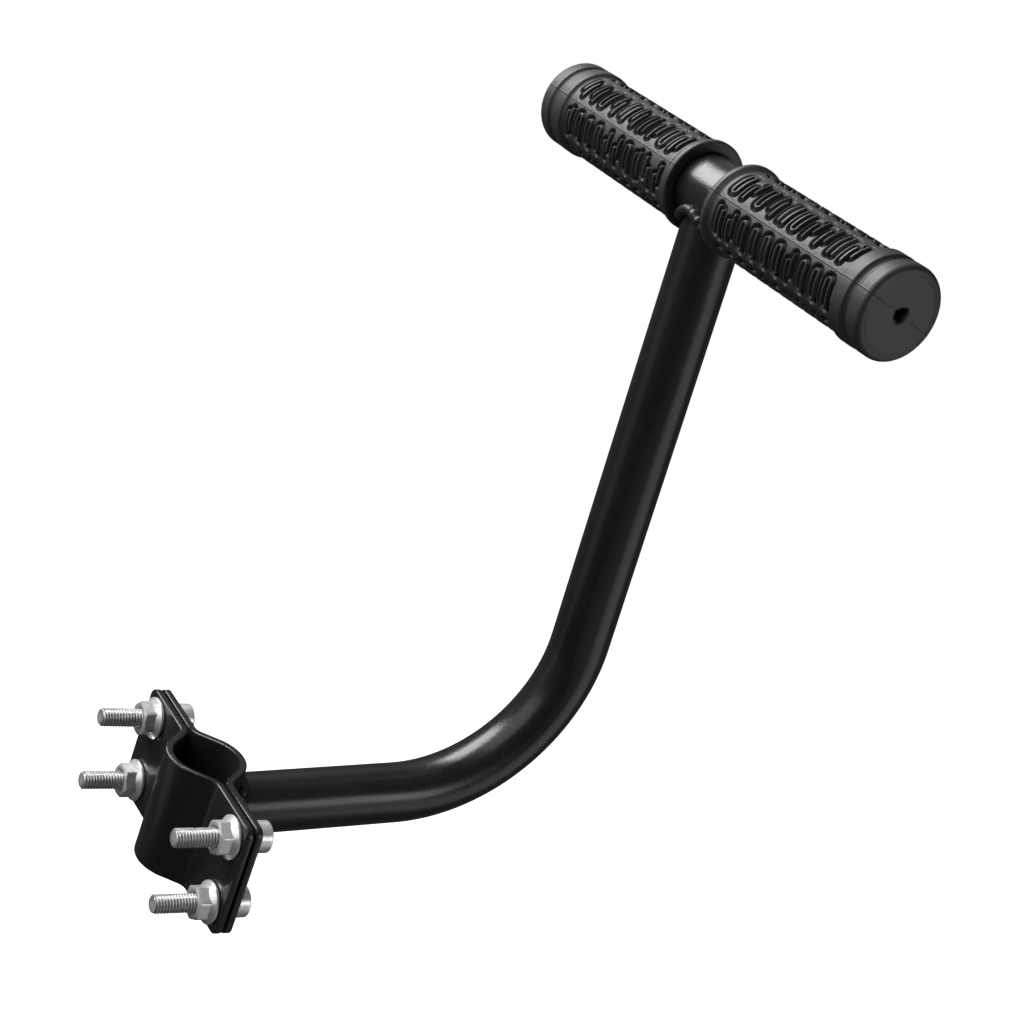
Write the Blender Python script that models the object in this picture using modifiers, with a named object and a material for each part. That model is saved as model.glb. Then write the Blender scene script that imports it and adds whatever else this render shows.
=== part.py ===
"""Clamp-on grab handle: a bent arm on a two-plate stem clamp, with a cross bar and two rubber grips.

The origin is the middle of the clamp's bore.  +Z runs up the clamped stem, +X points from the
clamp towards the arm, and +Y lies along the cross bar.
"""
import math

import bmesh
import bpy
from mathutils import Vector

MM = 0.001
CLEARANCE = 0.3 * MM
MERGE = 0.00001

# Clamp plates: two pressed hat sections that face each other across the bore.
PLATE_THICKNESS = 2.4 * MM
PLATE_GAP = 0.75 * MM
PLATE_HALF_WIDTH = 41.0 * MM
PLATE_HALF_HEIGHT = 19.3 * MM
PLATE_CORNER_RADIUS = 3.2 * MM
HAT_DEPTH = 10.2 * MM
HAT_CREST_RADIUS = 13.0 * MM
HAT_WALL_ANGLE = math.radians(48)
HAT_FILLET_RADIUS = 4.0 * MM
FLANGE_OUTER = PLATE_GAP / 2 + PLATE_THICKNESS
CREST = FLANGE_OUTER + HAT_DEPTH

# M6 x 25 socket head cap screws and flange nuts, on a rectangle of four holes.
BOLT_HALF_SPACING_Y = 32.8 * MM
BOLT_HALF_SPACING_Z = 12.0 * MM
BOLT_RADIUS = 3.0 * MM
BOLT_LENGTH = 25.0 * MM
BOLT_HEAD_RADIUS = 5.0 * MM
BOLT_HEAD_HEIGHT = 6.0 * MM
BOLT_CHAMFER = 0.5 * MM
SOCKET_ACROSS_FLATS = 5.0 * MM
SOCKET_DEPTH = 3.0 * MM
HOLE_RADIUS = 3.3 * MM
NUT_ACROSS_FLATS = 10.0 * MM
NUT_HEIGHT = 6.0 * MM
NUT_FLANGE_RADIUS = 6.8 * MM
NUT_FLANGE_EDGE = 1.1 * MM
NUT_CONE_TOP = 2.6 * MM
NUT_CHAMFER = 0.5 * MM

# Bent arm, in the plane Y = 0.
ARM_RADIUS = 10.0 * MM
TUBE_WALL = 1.5 * MM
ARM_TILT = math.radians(4.25)
ARM_LOWER = 73.3 * MM
ARM_BEND_RADIUS = 57.0 * MM
ARM_BEND = math.radians(90)
ARM_UPPER = 159.0 * MM
ARM_BEND_STEPS = 20

# Cross bar and grips.
BAR_RADIUS = 11.0 * MM
BAR_HALF_LENGTH = 84.0 * MM
GRIP_START = 10.0 * MM
GRIP_END = 89.8 * MM
GRIP_BODY_RADIUS = 13.7 * MM
GRIP_COLLAR_RADIUS = 14.9 * MM
GRIP_COLLAR_END = 13.0 * MM
GRIP_RING_RADIUS = 14.8 * MM
GRIP_RING_START = 76.2 * MM
GRIP_GROOVE = 83.0 * MM
GRIP_GROOVE_RADIUS = 13.9 * MM
GRIP_TIP_RADIUS = 14.6 * MM
GRIP_EDGE_ROUND = 1.0 * MM
GRIP_TIP_ROUND = 1.9 * MM
GRIP_VENT_RADIUS = 2.5 * MM

# Weld beads.
BEAD_RADIUS = 1.5 * MM
BEAD_STANDOFF = BEAD_RADIUS + CLEARANCE
BAR_BEAD_HALF_ANGLE = math.radians(42)

ROUND_STEPS = 40
TURN_STEPS = 48

PAINT = ((0.012, 0.012, 0.013), 0.32, 0.0)
RUBBER = ((0.022, 0.022, 0.023), 0.62, 0.0)
ZINC = ((0.72, 0.72, 0.70), 0.36, 0.9)


def clear_scene():
    for item in list(bpy.data.objects):
        bpy.data.objects.remove(item, do_unlink=True)


def new_collection(name):
    collection = bpy.data.collections.new(name)
    bpy.context.scene.collection.children.link(collection)
    return collection


def add_object(name, data, collection, location=(0, 0, 0), rotation=(0, 0, 0)):
    item = bpy.data.objects.new(name, data)
    item.location = location
    item.rotation_euler = rotation
    collection.objects.link(item)
    return item


def hidden(item):
    """Keep a cutter out of the render and show it as a wireframe."""
    item.hide_render = True
    item.display_type = 'WIRE'
    return item


def add_cutter(name, data, location=(0, 0, 0), rotation=(0, 0, 0)):
    return hidden(add_object(name, data, CUTTERS, location, rotation))


def set_material(item, look):
    colour, roughness, metallic = look
    material = bpy.data.materials.new(item.name)
    material.use_nodes = True
    shader = material.node_tree.nodes["Principled BSDF"]
    shader.inputs["Base Color"].default_value = (*colour, 1)
    shader.inputs["Roughness"].default_value = roughness
    shader.inputs["Metallic"].default_value = metallic
    material.diffuse_color = (*colour, 1)
    item.data.materials.clear()
    item.data.materials.append(material)


def cylinder_mesh(name, radius, length, sides=ROUND_STEPS):
    """A closed prism or cylinder on the Z axis, centred on the origin."""
    shape = bmesh.new()
    bmesh.ops.create_cone(shape, cap_ends=True, segments=sides, radius1=radius,
                          radius2=radius, depth=length)
    mesh = bpy.data.meshes.new(name)
    shape.to_mesh(mesh)
    shape.free()
    return mesh


def evaluated_mesh(item, name):
    """The object's mesh with its modifiers or its bevel applied, caps welded."""
    graph = bpy.context.evaluated_depsgraph_get()
    mesh = bpy.data.meshes.new_from_object(item.evaluated_get(graph))
    mesh.name = name
    shape = bmesh.new()
    shape.from_mesh(mesh)
    bmesh.ops.remove_doubles(shape, verts=shape.verts, dist=MERGE)
    bmesh.ops.recalc_face_normals(shape, faces=shape.faces)
    shape.to_mesh(mesh)
    shape.free()
    return mesh


def baked_object(item, name, collection):
    """Replace a curve or a built-up object by a plain mesh object in the same place."""
    mesh = evaluated_mesh(item, name)
    place = item.matrix_world.copy()
    bpy.data.objects.remove(item, do_unlink=True)
    result = bpy.data.objects.new(name, mesh)
    result.matrix_world = place
    collection.objects.link(result)
    return result


def poly_curve(name, points, flat=False, cyclic=False):
    curve = bpy.data.curves.new(name, 'CURVE')
    curve.dimensions = '2D' if flat else '3D'
    spline = curve.splines.new('POLY')
    spline.points.add(len(points) - 1)
    for target, point in zip(spline.points, points):
        target.co = (*point, 0, 1) if flat else (*point, 1)
    spline.use_cyclic_u = cyclic
    curve.render_resolution_u = 0
    return curve


def flat_plate(name, outline, half_depth, rotation=(0, 0, 0)):
    """A closed plate from a flat outline, extruded both ways along its local Z."""
    curve = poly_curve(name, outline, flat=True, cyclic=True)
    curve.fill_mode = 'BOTH'
    curve.extrude = half_depth
    item = add_object(name + "_outline", curve, CUTTERS, rotation=rotation)
    bpy.context.view_layer.update()
    return item


def turned_mesh(name, profile, cyclic):
    """Turn a profile of (radius, height) points about the Z axis."""
    mesh = bpy.data.meshes.new(name + "_profile")
    count = len(profile)
    edges = [(i, i + 1) for i in range(count - 1)]
    if cyclic:
        edges.append((count - 1, 0))
    mesh.from_pydata([(radius, 0, height) for radius, height in profile], edges, [])
    item = add_object(name + "_profile", mesh, CUTTERS)
    screw = item.modifiers.new("Screw", 'SCREW')
    screw.steps = TURN_STEPS
    screw.render_steps = TURN_STEPS
    screw.use_merge_vertices = True
    screw.merge_threshold = MERGE
    bpy.context.view_layer.update()
    result = evaluated_mesh(item, name)
    bpy.data.objects.remove(item, do_unlink=True)
    return result


def add_boolean(item, cutter, operation):
    modifier = item.modifiers.new(cutter.name, 'BOOLEAN')
    modifier.operation = operation
    modifier.solver = 'EXACT'
    modifier.object = cutter


def arc(centre, radius, start, end, steps):
    """Points on an arc, from the start angle to the end angle, both in radians."""
    points = []
    for i in range(steps + 1):
        angle = start + (end - start) * i / steps
        points.append((centre[0] + radius * math.cos(angle), centre[1] + radius * math.sin(angle)))
    return points


def hat_line(offset):
    """One side of the hat section as (x, y) points, at an offset outwards from its outer face.

    It runs from the crest at y = 0 to the flange's edge at +Y.
    """
    crest_centre = (CREST - HAT_CREST_RADIUS, 0)
    wall = HAT_CREST_RADIUS + (HAT_DEPTH - HAT_CREST_RADIUS) * math.cos(HAT_WALL_ANGLE)
    fillet_rise = HAT_FILLET_RADIUS * (1 - math.cos(HAT_WALL_ANGLE))
    fillet_y = (wall + fillet_rise) / math.sin(HAT_WALL_ANGLE)
    fillet_centre = (FLANGE_OUTER + HAT_FILLET_RADIUS, fillet_y)
    crest = arc(crest_centre, HAT_CREST_RADIUS + offset, 0, HAT_WALL_ANGLE, 10)
    fillet = arc(fillet_centre, HAT_FILLET_RADIUS - offset,
                 math.pi + HAT_WALL_ANGLE, math.pi, 6)
    edge = [(FLANGE_OUTER + offset, PLATE_HALF_WIDTH + MM)]
    return crest + fillet + edge


def hat_height(y, offset):
    """The x of the offset hat section at a given y."""
    line = hat_line(offset)
    for (x0, y0), (x1, y1) in zip(line, line[1:]):
        if y0 <= abs(y) <= y1:
            return x0 + (x1 - x0) * (abs(y) - y0) / (y1 - y0)
    return line[-1][0]


def mirrored_line(line):
    left = [(x, -y) for x, y in reversed(line)]
    return left + line[1:]


def rounded_rectangle(half_a, half_b, radius):
    points = []
    for i in range(4):
        angle = math.pi / 2 * i
        corner_a = (half_a - radius) * (1 if i in (0, 3) else -1)
        corner_b = (half_b - radius) * (1 if i in (0, 1) else -1)
        points += arc((corner_a, corner_b), radius, angle, angle + math.pi / 2, 6)
    return points


def bolt_places():
    """Hole centres (y, z), from upper +Y round to lower -Y."""
    return [(side * BOLT_HALF_SPACING_Y, level * BOLT_HALF_SPACING_Z)
            for side in (1, -1) for level in (1, -1)]


def make_plate(name, facing):
    """A hat-section plate; facing is +1 for the arm's side and -1 for the nuts' side."""
    outer = mirrored_line(hat_line(0))
    inner = mirrored_line(hat_line(-PLATE_THICKNESS))
    outline = [(facing * x, y) for x, y in outer + inner[::-1]]
    plate = baked_object(flat_plate(name, outline, PLATE_HALF_HEIGHT + MM), name, PARTS)
    add_boolean(plate, TRIM, 'INTERSECT')
    for cutter in HOLE_CUTTERS:
        add_boolean(plate, cutter, 'DIFFERENCE')
    set_material(plate, PAINT)
    return plate


def make_trim():
    """The plates' outline seen along X: a rectangle with rounded corners."""
    outline = rounded_rectangle(PLATE_HALF_HEIGHT, PLATE_HALF_WIDTH, PLATE_CORNER_RADIUS)
    item = flat_plate("plate_trim", outline, 2 * CREST, rotation=(0, -math.pi / 2, 0))
    return hidden(baked_object(item, "plate_trim", CUTTERS))


def make_hole_cutters():
    cutters = []
    for number, (y, z) in enumerate(bolt_places(), start=1):
        mesh = cylinder_mesh(f"hole_{number}", HOLE_RADIUS, 4 * CREST, 24)
        cutters.append(add_cutter(f"hole_{number}", mesh, (0, y, z), (0, math.pi / 2, 0)))
    return cutters


def arm_direction(turned=0.0):
    angle = ARM_TILT + turned
    return Vector((math.cos(angle), 0, math.sin(angle)))


def arm_path():
    """The arm's centre line, from inside the clamp to the cross bar's axis."""
    bend_start = arm_direction() * ARM_LOWER
    bend_centre = bend_start + arm_direction(math.pi / 2) * ARM_BEND_RADIUS
    points = [Vector((0, 0, 0))]
    for i in range(ARM_BEND_STEPS + 1):
        turned = ARM_BEND * i / ARM_BEND_STEPS
        points.append(bend_centre - arm_direction(turned + math.pi / 2) * ARM_BEND_RADIUS)
    points.append(points[-1] + arm_direction(ARM_BEND) * ARM_UPPER)
    return points


def make_arm():
    curve = poly_curve("arm_tube", arm_path())
    curve.bevel_depth = ARM_RADIUS
    curve.bevel_resolution = 14
    item = add_object("arm_curve", curve, CUTTERS)
    bpy.context.view_layer.update()
    arm = baked_object(item, "arm_tube", PARTS)
    shell = arm.modifiers.new("Wall", 'SOLIDIFY')
    shell.thickness = TUBE_WALL
    shell.offset = -1
    outer = mirrored_line(hat_line(CLEARANCE))
    back = [(-CREST, PLATE_HALF_WIDTH), (-CREST, -PLATE_HALF_WIDTH)]
    saddle = baked_object(flat_plate("arm_cope", outer + back, 2 * PLATE_HALF_HEIGHT),
                          "arm_cope", CUTTERS)
    add_boolean(arm, hidden(saddle), 'DIFFERENCE')
    mesh = cylinder_mesh("bar_cope", BAR_RADIUS + CLEARANCE, 4 * BAR_RADIUS, 64)
    add_boolean(arm, add_cutter("bar_cope", mesh, BAR_CENTRE, (math.pi / 2, 0, 0)), 'DIFFERENCE')
    set_material(arm, PAINT)


def make_bar():
    profile = [(BAR_RADIUS, BAR_HALF_LENGTH), (BAR_RADIUS, -BAR_HALF_LENGTH),
               (BAR_RADIUS - TUBE_WALL, -BAR_HALF_LENGTH), (BAR_RADIUS - TUBE_WALL, BAR_HALF_LENGTH)]
    bar = add_object("cross_tube", turned_mesh("cross_tube", profile, True), PARTS,
                     BAR_CENTRE, (-math.pi / 2, 0, 0))
    set_material(bar, PAINT)


def grip_profile():
    """Section of a grip: heights are distances from the arm's plane along the cross bar."""
    quarter = math.pi / 2
    bore = BAR_RADIUS + CLEARANCE
    cavity_end = BAR_HALF_LENGTH + CLEARANCE
    edge = GRIP_EDGE_ROUND
    points = [(GRIP_VENT_RADIUS, GRIP_END)]
    points += arc((GRIP_TIP_RADIUS - GRIP_TIP_ROUND, GRIP_END - GRIP_TIP_ROUND), GRIP_TIP_ROUND,
                  quarter, 0, 4)
    points += [(GRIP_TIP_RADIUS, GRIP_GROOVE + edge), (GRIP_GROOVE_RADIUS, GRIP_GROOVE + edge / 3),
               (GRIP_GROOVE_RADIUS, GRIP_GROOVE - edge / 3)]
    points += arc((GRIP_RING_RADIUS - edge, GRIP_GROOVE - 2 * edge), edge, quarter / 2, 0, 2)
    points += arc((GRIP_RING_RADIUS - edge, GRIP_RING_START + edge), edge, 0, -quarter, 3)
    points += [(GRIP_BODY_RADIUS, GRIP_RING_START - edge), (GRIP_BODY_RADIUS, GRIP_COLLAR_END + 2 * edge)]
    points += arc((GRIP_COLLAR_RADIUS - edge, GRIP_COLLAR_END - edge), edge, quarter / 2, 0, 2)
    points += arc((GRIP_COLLAR_RADIUS - edge, GRIP_START + edge), edge, 0, -quarter, 3)
    points += [(bore, GRIP_START), (bore, cavity_end), (GRIP_VENT_RADIUS, cavity_end)]
    return points


def make_grips():
    mesh = turned_mesh("grip", grip_profile(), True)
    for name, turn in (("grip_left", -math.pi / 2), ("grip_right", math.pi / 2)):
        grip = add_object(name, mesh.copy(), PARTS, BAR_CENTRE, (turn, 0, 0))
        set_material(grip, RUBBER)


def bolt_mesh():
    """A socket head cap screw with its head's seat at z = 0 and its tip at -Z."""
    chamfer = BOLT_CHAMFER
    profile = [(0, BOLT_HEAD_HEIGHT), (BOLT_HEAD_RADIUS - chamfer, BOLT_HEAD_HEIGHT),
               (BOLT_HEAD_RADIUS, BOLT_HEAD_HEIGHT - chamfer), (BOLT_HEAD_RADIUS, 0),
               (BOLT_RADIUS, 0), (BOLT_RADIUS, chamfer - BOLT_LENGTH),
               (BOLT_RADIUS - chamfer, -BOLT_LENGTH), (0, -BOLT_LENGTH)]
    item = add_object("bolt_blank", turned_mesh("bolt", profile, False), CUTTERS)
    radius = SOCKET_ACROSS_FLATS / 2 / math.cos(math.pi / 6)
    key = add_cutter("bolt_key", cylinder_mesh("bolt_key", radius, 2 * SOCKET_DEPTH, 6),
                     (0, 0, BOLT_HEAD_HEIGHT))
    add_boolean(item, key, 'DIFFERENCE')
    bpy.context.view_layer.update()
    mesh = evaluated_mesh(item, "bolt")
    bpy.data.objects.remove(item, do_unlink=True)
    bpy.data.objects.remove(key, do_unlink=True)
    return mesh


def nut_mesh():
    """A flange nut with its seat at z = 0 and its hexagon towards +Z."""
    corner = NUT_ACROSS_FLATS / 2 / math.cos(math.pi / 6)
    hexagon = cylinder_mesh("nut_hexagon", corner, NUT_HEIGHT, 6)
    item = add_object("nut_blank", hexagon, CUTTERS, (0, 0, NUT_HEIGHT / 2))
    dome = [(0, NUT_HEIGHT), (corner - 2 * NUT_CHAMFER, NUT_HEIGHT), (corner, NUT_HEIGHT - NUT_CHAMFER),
            (corner, NUT_CHAMFER), (0, NUT_CHAMFER)]
    rounder = add_cutter("nut_rounder", turned_mesh("nut_rounder", dome, False))
    flange = [(0, NUT_CONE_TOP), (NUT_ACROSS_FLATS / 2, NUT_CONE_TOP), (NUT_FLANGE_RADIUS, NUT_FLANGE_EDGE),
              (NUT_FLANGE_RADIUS, NUT_CHAMFER / 2), (NUT_FLANGE_RADIUS - NUT_CHAMFER / 2, 0), (0, 0)]
    skirt = add_cutter("nut_skirt", turned_mesh("nut_skirt", flange, False))
    bore = add_cutter("nut_bore", cylinder_mesh("nut_bore", HOLE_RADIUS, 4 * NUT_HEIGHT))
    add_boolean(item, rounder, 'INTERSECT')
    add_boolean(item, skirt, 'UNION')
    add_boolean(item, bore, 'DIFFERENCE')
    bpy.context.view_layer.update()
    mesh = evaluated_mesh(item, "nut")
    mesh.transform(item.matrix_world)
    for helper in (item, rounder, skirt, bore):
        bpy.data.objects.remove(helper, do_unlink=True)
    return mesh


def make_fasteners():
    bolt = bolt_mesh()
    nut = nut_mesh()
    seat = FLANGE_OUTER + CLEARANCE / 3
    for number, (y, z) in enumerate(bolt_places(), start=1):
        screw = add_object(f"bolt_{number}", bolt.copy(), PARTS, (seat, y, z), (0, math.pi / 2, 0))
        set_material(screw, ZINC)
        nut_object = add_object(f"nut_{number}", nut.copy(), PARTS, (-seat, y, z), (0, -math.pi / 2, 0))
        set_material(nut_object, ZINC)


def make_bead(name, points, cyclic):
    curve = poly_curve(name, points, cyclic=cyclic)
    curve.bevel_depth = BEAD_RADIUS
    curve.bevel_resolution = 2
    curve.use_fill_caps = True
    item = add_object(name, curve, CUTTERS)
    bpy.context.view_layer.update()
    set_material(baked_object(item, name, PARTS), PAINT)


def make_saddle_bead():
    """A ring of weld round the arm where it meets the saddle plate."""
    reach = ARM_RADIUS + BEAD_STANDOFF
    along = arm_direction()
    across = arm_direction(math.pi / 2)
    points = []
    for i in range(TURN_STEPS):
        angle = 2 * math.pi * i / TURN_STEPS
        side = across * (reach * math.cos(angle)) + Vector((0, reach * math.sin(angle), 0))
        distance = (hat_height(side.y, BEAD_STANDOFF) - side.x) / along.x
        points.append(along * distance + side)
    make_bead("weld_bead_saddle", points, True)


def make_bar_beads():
    """Two runs of weld between the arm and the cross bar, one on each face of the arm."""
    reach = ARM_RADIUS + BEAD_STANDOFF
    bar_reach = BAR_RADIUS + BEAD_STANDOFF
    along = arm_direction(ARM_BEND)
    across = arm_direction(ARM_BEND - math.pi / 2)
    steps = 12
    for name, facing in (("weld_bead_bar_outer", 1), ("weld_bead_bar_inner", -1)):
        points = []
        for i in range(steps + 1):
            angle = BAR_BEAD_HALF_ANGLE * (2 * i / steps - 1)
            depth = reach * math.cos(angle)
            drop = math.sqrt(bar_reach ** 2 - depth ** 2)
            side = across * (facing * depth) + Vector((0, reach * math.sin(angle), 0))
            points.append(BAR_CENTRE + side - along * drop)
        make_bead(name, points, False)


clear_scene()
PARTS = new_collection("clamp_on_grab_handle")
CUTTERS = new_collection("cutters")
BAR_CENTRE = arm_path()[-1]
TRIM = make_trim()
HOLE_CUTTERS = make_hole_cutters()
make_plate("saddle_plate", 1)
make_plate("clamp_cap", -1)
make_arm()
make_bar()
make_grips()
make_fasteners()
make_saddle_bead()
make_bar_beads()
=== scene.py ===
"""Clamp-on grab handle: painted arm and clamp, zinc fasteners and moulded rubber grips."""
import functools
import math

import bmesh
import bpy
import numpy as np
from bpy.props import FloatProperty, FloatVectorProperty, IntProperty, PointerProperty
from mathutils import Matrix, Vector


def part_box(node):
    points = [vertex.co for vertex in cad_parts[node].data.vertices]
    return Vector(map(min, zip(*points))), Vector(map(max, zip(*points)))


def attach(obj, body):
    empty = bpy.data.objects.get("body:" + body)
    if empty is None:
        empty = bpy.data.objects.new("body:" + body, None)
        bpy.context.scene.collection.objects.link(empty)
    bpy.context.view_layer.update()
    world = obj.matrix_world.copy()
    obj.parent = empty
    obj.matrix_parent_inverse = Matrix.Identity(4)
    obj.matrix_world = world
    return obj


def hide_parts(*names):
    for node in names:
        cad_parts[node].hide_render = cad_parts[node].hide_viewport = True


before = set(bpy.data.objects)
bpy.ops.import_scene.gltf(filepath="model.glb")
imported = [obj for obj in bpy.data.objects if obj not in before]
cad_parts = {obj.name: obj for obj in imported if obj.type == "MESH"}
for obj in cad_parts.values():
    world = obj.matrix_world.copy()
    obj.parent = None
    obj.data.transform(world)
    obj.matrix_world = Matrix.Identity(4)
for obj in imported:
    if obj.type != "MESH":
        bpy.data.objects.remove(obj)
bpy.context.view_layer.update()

bl_info = {
    "name": "Clamp-on grab handle",
    "version": (1, 0, 0),
    "blender": (4, 5, 0),
    "location": "3D View > Sidebar > Grab Handle",
    "description": "Builds the painted arm, the stem clamp, its fasteners and the rubber grips",
    "category": "Object",
}

MM = 0.001
# Points closer than this become one.
MERGE = 0.01 * MM
# Points round a tube, rings along each straight run and round the bend, and the length that
# they leave free before an end fitted to another piece.
TUBE_SIDES = 96
RUN_RINGS = 20
BEND_RINGS = 48
FITTED_END = 4 * MM
# Edges that turn by more than these degrees stay sharp.
PAINT_EDGE = 40
SOFT_EDGE = 60
SCREW_EDGE = 32
NUT_EDGE = 25
# The turn from one screw to the next in radians, and each nut's turn in degrees.
SCREW_TURN = 1.3
NUT_TURNS = (15, 30, 0, 0)


def length(name, description, millimetres):
    return FloatProperty(name=name, description=description, default=millimetres * MM,
                         unit='LENGTH', subtype='DISTANCE')


def angle(name, description, degrees):
    return FloatProperty(name=name, description=description, default=math.radians(degrees),
                         unit='ROTATION', subtype='ANGLE')


def colour(name, description, value):
    return FloatVectorProperty(name=name, description=description, default=value,
                               subtype='COLOR', size=3, min=0, max=1)


def factor(name, description, value):
    return FloatProperty(name=name, description=description, default=value, subtype='FACTOR')


class ArmSizes(bpy.types.PropertyGroup):
    """Sizes of the bent arm and the cross tube."""

    tilt: angle("Tilt", "Rise of the lower run from square to the stem", 4.25)
    lower: length("Lower run", "From the bore's axis to the start of the bend", 73.3)
    bend_radius: length("Bend radius", "Radius of the bend's centre line", 57.0)
    bend: angle("Bend", "Angle that the arm turns through", 90)
    upper: length("Upper run", "From the end of the bend to the cross tube's axis", 159.0)
    wall: length("Wall", "Wall thickness of both tubes", 1.5)
    bar_radius: length("Cross tube radius", "Outer radius of the cross tube", 11.0)


class PlateSizes(bpy.types.PropertyGroup):
    """Sizes of the two pressed clamp plates."""

    thickness: length("Thickness", "Thickness of the pressed sheet", 2.4)
    corner: length("Corner radius", "Radius of the plates' outer corners", 3.2)
    crest_radius: length("Crest radius", "Outer radius of the channel's crest", 13.0)
    wall_angle: angle("Wall angle", "Slope of the channel's walls", 48)
    fillet: length("Fillet", "Outer radius where the channel meets the flange", 4.0)
    hole: length("Hole radius", "Radius of the screw holes", 3.3)
    edge: length("Edge rounding", "Rounding of the blanked edges under the paint", 0.45)


class WeldSizes(bpy.types.PropertyGroup):
    """Sizes of the weld beads."""

    bead: length("Bead radius", "Radius of the weld bead", 1.75)
    sunk: length("Bead seat", "Distance of the bead's middle from the tube's surface", 0.9)
    ripple: length("Ripple", "Height of the ripples on the bead", 0.35)
    pitch: length("Ripple pitch", "Distance between ripples", 2.1)
    seed: IntProperty(name="Seed", description="Draw of the uneven bead", default=4)


class FastenerSizes(bpy.types.PropertyGroup):
    """Sizes of the M6 screws and flange nuts."""

    spacing_y: length("Spacing Y", "Half the distance between screws across the plate", 32.8)
    spacing_z: length("Spacing Z", "Half the distance between screws up the plate", 12.0)
    radius: length("Screw radius", "Radius over the thread's crests", 3.0)
    screw_length: length("Screw length", "Length under the head", 25.0)
    pitch: length("Pitch", "Distance from one thread to the next", 1.0)
    thread_depth: length("Thread depth", "Depth of the thread", 0.6)
    head_radius: length("Head radius", "Radius of the screw's head", 5.0)
    head_height: length("Head height", "Height of the screw's head", 6.0)
    key: length("Key size", "Hexagon socket across its flats", 5.0)
    key_depth: length("Key depth", "Depth of the hexagon socket", 3.0)
    nut_flats: length("Nut across flats", "Width of the nut's hexagon across its flats", 10.0)
    nut_height: length("Nut height", "Height of the nut with its flange", 6.0)
    flange_radius: length("Flange radius", "Radius of the nut's flange", 6.8)


class GripSizes(bpy.types.PropertyGroup):
    """Sizes of the rubber grips and of their raised pattern."""

    start: length("Start", "Inner end, from the arm's middle plane", 10.0)
    end: length("End", "Outer end, from the arm's middle plane", 89.8)
    body: length("Body radius", "Radius of the grip between its rings", 13.7)
    zone_start: length("Pattern start", "Where the raised pattern begins", 14.7)
    zone_end: length("Pattern end", "Where the raised pattern ends", 75.3)
    columns: IntProperty(name="Columns", description="Raised figures along the grip", default=10)
    rows: IntProperty(name="Rows", description="Rows of raised figures round the grip", default=6)
    stroke: length("Stroke", "Width of a raised stroke", 0.85)
    groove: length("Groove", "Width of the groove beside a stroke", 1.15)
    groove_depth: length("Groove depth", "Depth of the grooves below the grip's surface", 1.2)
    rise: length("Rise", "Height of the strokes above the grip's surface", 0.3)
    parting: angle("Parting line", "Angle of the mould's parting line above level", 19.5)
    seed: IntProperty(name="Seed", description="Draw of the raised figures", default=11)


class Finishes(bpy.types.PropertyGroup):
    """Colours of the four finishes."""

    paint: colour("Paint", "Black stove paint of the tubes and plates", (0.010, 0.010, 0.011))
    weld: colour("Painted weld", "The same paint over the weld beads", (0.013, 0.013, 0.013))
    rubber: colour("Rubber", "Moulded black rubber", (0.024, 0.024, 0.025))
    zinc: colour("Zinc", "Bright zinc plating", (0.90, 0.90, 0.88))
    paint_roughness: factor("Paint roughness", "Roughness of the paint", 0.27)
    rubber_roughness: factor("Rubber roughness", "Roughness of the rubber", 0.5)
    zinc_roughness: factor("Zinc roughness", "Roughness of the zinc plating", 0.30)


class Studio(bpy.types.PropertyGroup):
    """Camera and light of the stage."""

    place: FloatVectorProperty(name="Camera", description="Place of the camera", size=3,
                               default=(-0.29885, -0.49249, 0.34458), subtype='TRANSLATION')
    heading: angle("Heading", "Direction of view, from +Y towards +X", 37.524)
    pitch: angle("Pitch", "Direction of view above level", -20.503)
    roll: angle("Roll", "Turn of the camera about its view", 20.21)
    lens: FloatProperty(name="Lens", description="Focal length on a 36 mm sensor, in mm",
                        default=73.4)
    floor: length("Floor", "Height of the floor", -420)


class GrabHandle(bpy.types.PropertyGroup):
    """All of the handle's settings."""

    arm: PointerProperty(type=ArmSizes)
    plate: PointerProperty(type=PlateSizes)
    weld: PointerProperty(type=WeldSizes)
    fastener: PointerProperty(type=FastenerSizes)
    grip: PointerProperty(type=GripSizes)
    finish: PointerProperty(type=Finishes)
    studio: PointerProperty(type=Studio)


def settings():
    return bpy.context.scene.grab_handle


def both_ways(operation):
    """A Math node's operation as an operator's plain and reflected forms."""
    return (lambda self, other: self.net.math(operation, self, other),
            lambda self, other: self.net.math(operation, other, self))


class Wire:
    """A node's output that takes part in Python arithmetic."""

    def __init__(self, net, socket):
        self.net = net
        self.socket = socket

    __add__, __radd__ = both_ways('ADD')
    __sub__, __rsub__ = both_ways('SUBTRACT')
    __mul__, __rmul__ = both_ways('MULTIPLY')
    __truediv__, __rtruediv__ = both_ways('DIVIDE')
    __mod__, __rmod__ = both_ways('MODULO')

    def __neg__(self):
        return self * -1.0

    def __abs__(self):
        return self.net.math('ABSOLUTE', self)

    def floor(self):
        return self.net.math('FLOOR', self)

    def fract(self):
        return self.net.math('FRACT', self)

    def least(self, other):
        return self.net.math('MINIMUM', self, other)

    def most(self, other):
        return self.net.math('MAXIMUM', self, other)

    def below(self, other):
        return self.net.math('LESS_THAN', self, other)

    def hypot(self, other):
        return self.net.math('SQRT', self * self + other * other)

    def turns_from(self, other):
        """The angle of the point (other, this), in whole turns."""
        return self.net.math('ARCTAN2', self, other) / (2 * math.pi)

    def smooth(self, low, high):
        """0 below low, 1 above high, and a smooth step between them."""
        return self.net.add("ShaderNodeMapRange",
                            {"interpolation_type": 'SMOOTHSTEP', "clamp": True},
                            {"Value": self, "From Min": low, "From Max": high})

    def pick(self, low, high):
        """low where this is 0, and high where it is 1."""
        return low + self * (high - low)


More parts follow.
